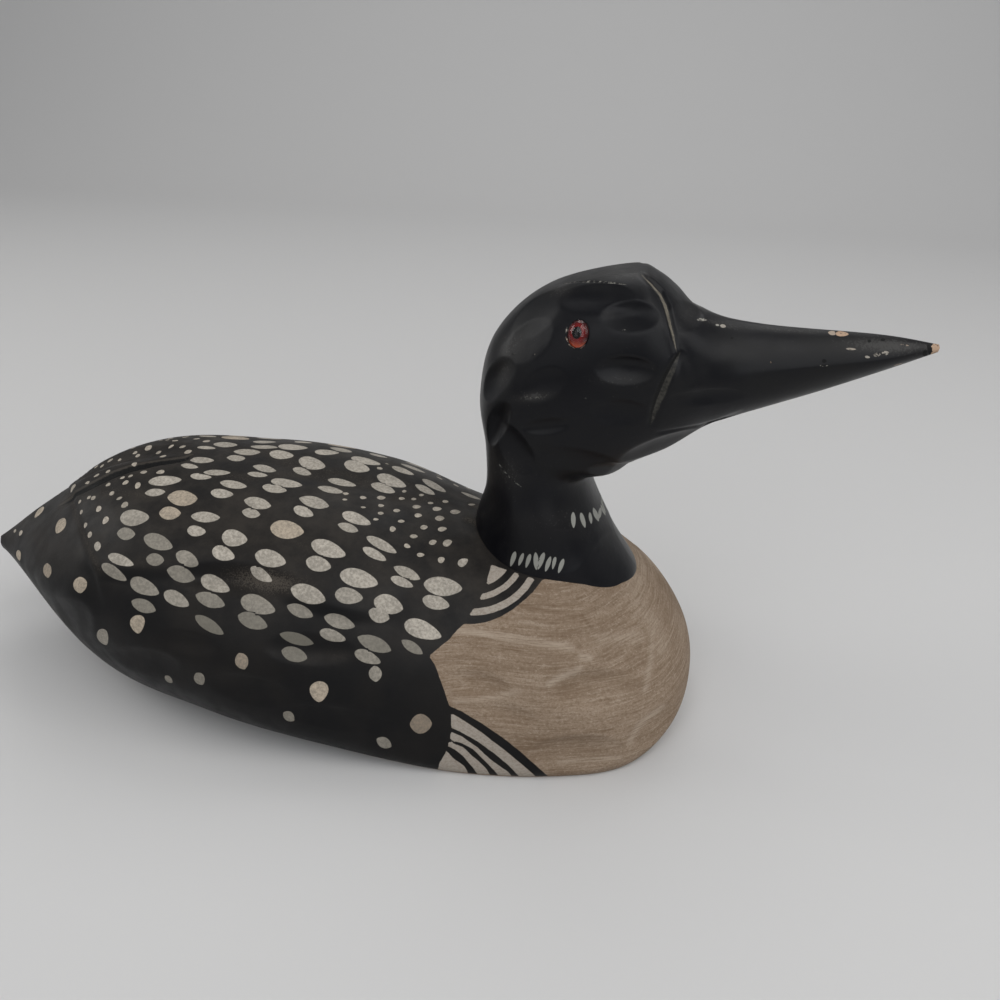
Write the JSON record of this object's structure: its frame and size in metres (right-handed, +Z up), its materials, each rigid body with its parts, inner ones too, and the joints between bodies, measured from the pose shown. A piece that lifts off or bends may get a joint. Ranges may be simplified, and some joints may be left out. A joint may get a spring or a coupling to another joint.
{
  "type": "loon decoy",
  "caption": "Carved and painted wooden loon with a long dagger bill, seated neck and glass eyes, resting on a flat underside.",
  "frame": {"origin": "on the floor plane, under the middle of the carving's bounding box", "axes": "+Z up, +X from the tail to the bill, -Y to the bird's right side"},
  "size_m": [0.3996, 0.158, 0.1923],
  "materials": {
    "body_paint": "matte black paint with pale spots and a tan brushed breast over carved wood, dusty and worn at the edges",
    "head_paint": "satin black paint over carved wood, worn to bare wood at the bill tip",
    "eye_glass": "polished red glass over a black pupil"
  },
  "bodies": {
    "root": {"body": "body_paint", "head": "head_paint", "eye_right": "eye_glass", "eye_left": "eye_glass"}
  },
  "joints": []
}
